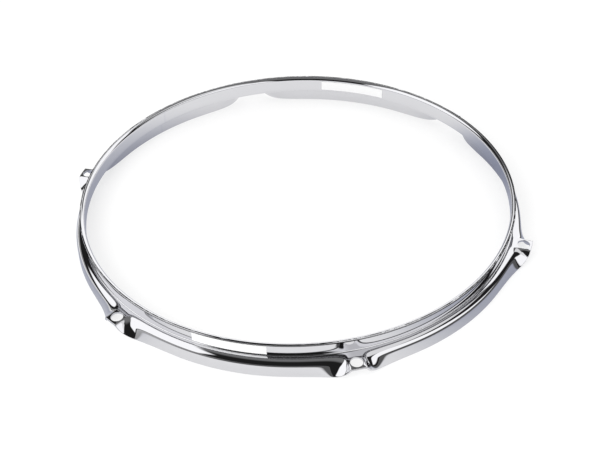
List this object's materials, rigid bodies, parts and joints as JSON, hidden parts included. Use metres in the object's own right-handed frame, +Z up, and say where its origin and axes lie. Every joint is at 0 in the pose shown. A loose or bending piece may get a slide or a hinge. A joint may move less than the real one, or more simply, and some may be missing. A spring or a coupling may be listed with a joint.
{
  "type": "drum hoop",
  "caption": "Pressed and chromed steel drum hoop: rolled rim, upright collar, shoulder over the head and a skirt that flares out flat at each drilled ear.",
  "frame": {"origin": "on the hoop's axis, level with the skirt's lower edge", "axes": "+Z up along the hoop's axis towards the struck side, +X through the middle of one ear"},
  "size_m": [0.347, 0.3266, 0.0246],
  "materials": {
    "chrome_plate": "mirror-bright nickel and chrome plate on pressed steel",
    "weld_plate": "the same plate over a ground butt weld, very slightly duller",
    "label_paper": "blank white adhesive label, matt"
  },
  "bodies": {
    "root": {"pressed_strip": "chrome_plate", "butt_weld": "weld_plate", "outer_label": "label_paper", "inner_label": "label_paper"}
  },
  "joints": []
}
